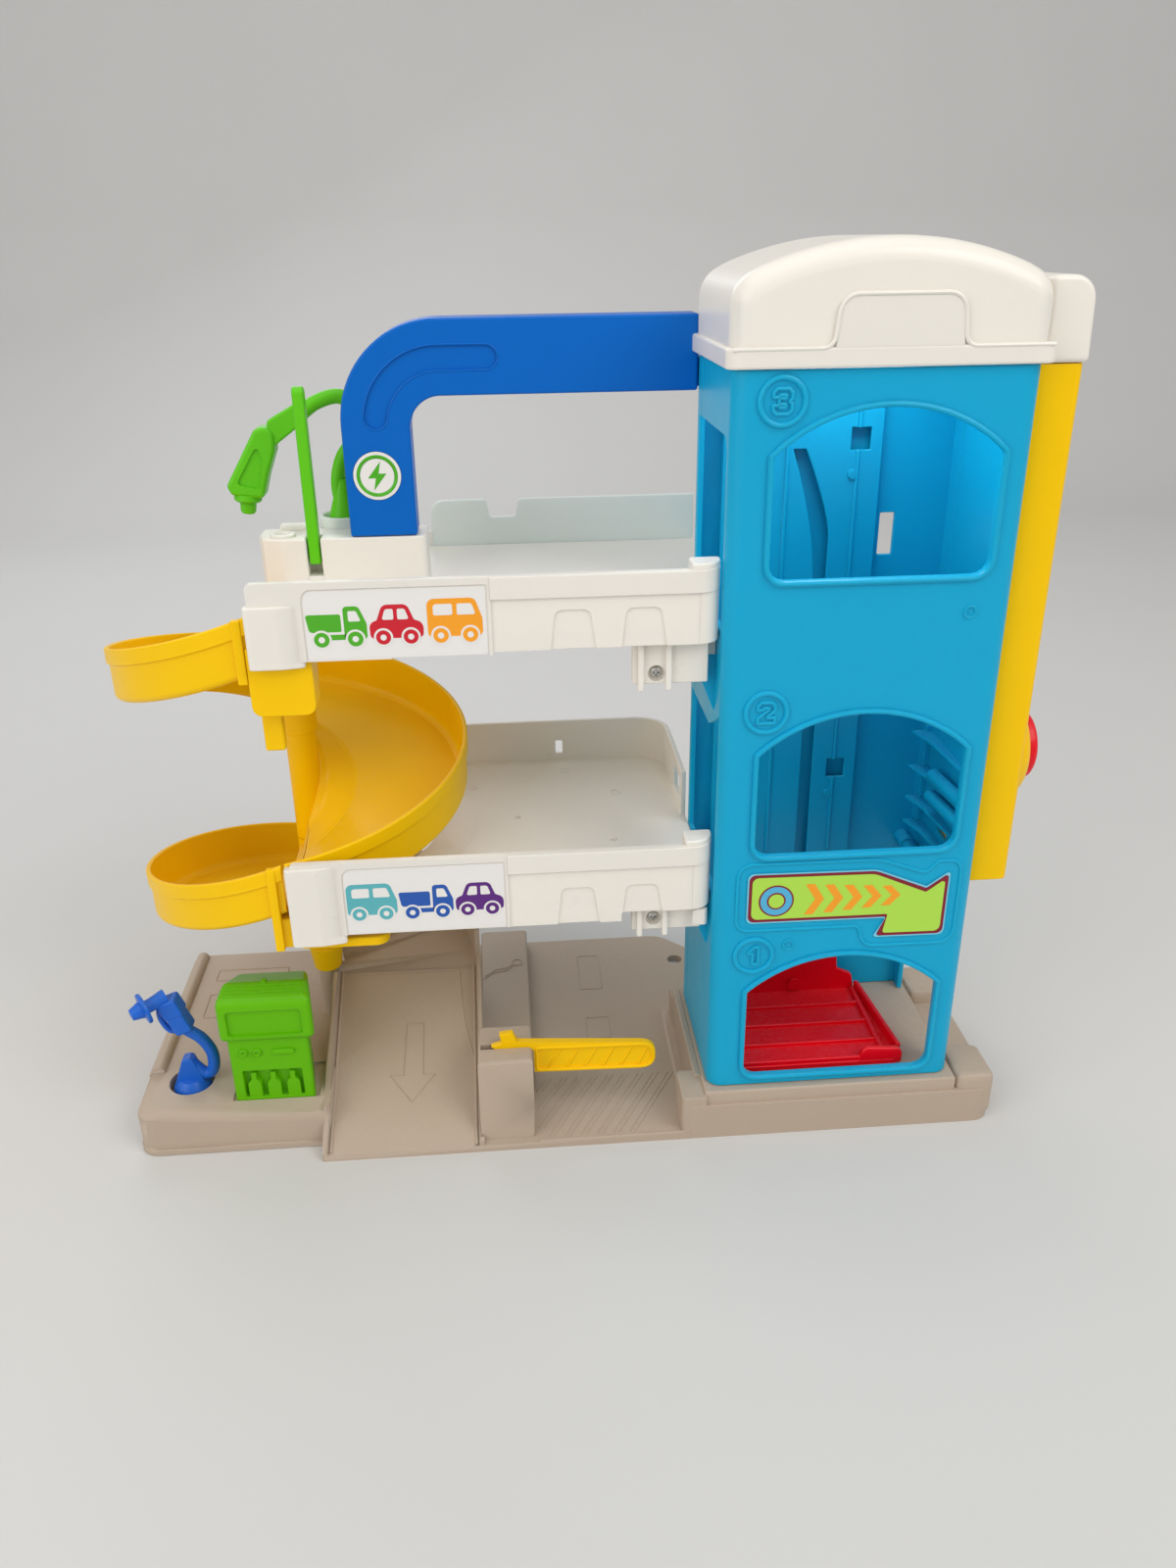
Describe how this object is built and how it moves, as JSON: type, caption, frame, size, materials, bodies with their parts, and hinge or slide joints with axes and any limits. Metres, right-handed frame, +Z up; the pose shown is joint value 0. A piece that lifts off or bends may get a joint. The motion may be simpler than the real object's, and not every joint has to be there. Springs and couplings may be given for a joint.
{
  "type": "toy garage",
  "caption": "Toy parking garage: blue tower with a sliding tilting lift, two white decks, yellow spiral ramp, carry arch, gates, pump and charger hoses, side push button.",
  "frame": {"origin": "centre of the bounding box on the table", "axes": "+X to the right along the decks, from the spiral ramp to the lift tower; +Y to the back, away from the front with the labels; +Z up"},
  "size_m": [0.4384, 0.184, 0.41],
  "materials": {
    "sky_blue": "moulded sky blue plastic with a soft gloss",
    "royal_blue": "moulded royal blue plastic with a soft gloss",
    "hose_blue": "moulded blue plastic, slightly duller than the arch",
    "white": "white plastic with a milky gloss",
    "yellow": "yellow plastic with a soft gloss",
    "red": "deep red plastic with a soft gloss",
    "green": "leaf green plastic with a soft gloss",
    "taupe": "grey-brown plastic with a fine grain",
    "label": null,
    "steel": "plated steel",
    "board": "green board",
    "black": "black plastic",
    "cell": "printed cell sleeve"
  },
  "bodies": {
    "root": {"arch_badge": "label", "arch_screw_1": "steel", "arch_screw_2": "steel", "arch_screw_3": "steel", "arch_screw_4": "steel", "arch_screw_5": "steel", "arch_screw_6": "steel", "base": "taupe", "battery_1": "cell", "battery_2": "cell", "battery_contact_1": "steel", "battery_contact_2": "steel", "battery_door": "yellow", "battery_door_screw_1": "steel", "battery_tray": "black", "circuit_board": "board", "deck_2": "white", "deck_2_label": "label", "deck_3": "white", "deck_3_label": "label", "deck_screw_1": "steel", "deck_screw_2": "steel", "fuel_pump": "green", "guide_plate": "sky_blue", "handle_arch_back": "royal_blue", "handle_arch_front": "royal_blue", "pump_screw_1": "steel", "pump_screw_2": "steel", "ramp_lower": "yellow", "ramp_upper": "yellow", "roof_cap": "white", "side_cap": "white", "side_housing": "yellow", "speaker": "black", "tower_back_shell": "sky_blue", "tower_front_shell": "sky_blue", "tower_label": "label", "tower_screw_1": "steel", "tower_screw_2": "steel", "tower_screw_3": "steel", "tower_screw_4": "steel"},
    "carriage": {"lift_carriage": "black"},
    "platform": {"elevator_platform": "red", "guide_pin": "steel"},
    "gate_arm": {"gate_arm": "yellow"},
    "lane_gate": {"lane_gate": "green"},
    "charger_hose": {"charger_hose": "green"},
    "pump_hose": {"pump_hose": "hose_blue"},
    "push_button": {"push_button": "red"}
  },
  "joints": [
    {"name": "lift_slide", "type": "slide", "parent": "root", "child": "carriage", "axis": [0, 0, 1], "range_m": [0, 0.2313]},
    {"name": "platform_tilt", "type": "hinge", "parent": "carriage", "child": "platform", "pos_m": [0.06785, -0.046, 0.0422], "axis": [0, -1, 0], "range_deg": [0, 12]},
    {"name": "gate_hinge", "type": "hinge", "parent": "root", "child": "gate_arm", "pos_m": [-0.03415, -0.068, 0.0405], "axis": [0, -1, 0], "range_deg": [0, 80]},
    {"name": "lane_gate_hinge", "type": "hinge", "parent": "root", "child": "lane_gate", "pos_m": [-0.10615, -0.0015, 0.278], "axis": [1, 0, 0], "range_deg": [0, 90]},
    {"name": "charger_swivel", "type": "hinge", "parent": "root", "child": "charger_hose", "pos_m": [-0.10115, 0.025, 0.287], "axis": [0, 0, 1], "range_deg": [-45, 40]},
    {"name": "hose_swivel", "type": "hinge", "parent": "root", "child": "pump_hose", "pos_m": [-0.19615, -0.052, 0.023], "axis": [0, 0, 1], "range_deg": [-100, 100]},
    {"name": "button_slide", "type": "slide", "parent": "root", "child": "push_button", "axis": [-1, 0, 0], "range_m": [0, 0.003], "stiffness_N_per_m": 400, "springref_m": -0.002}
  ]
}
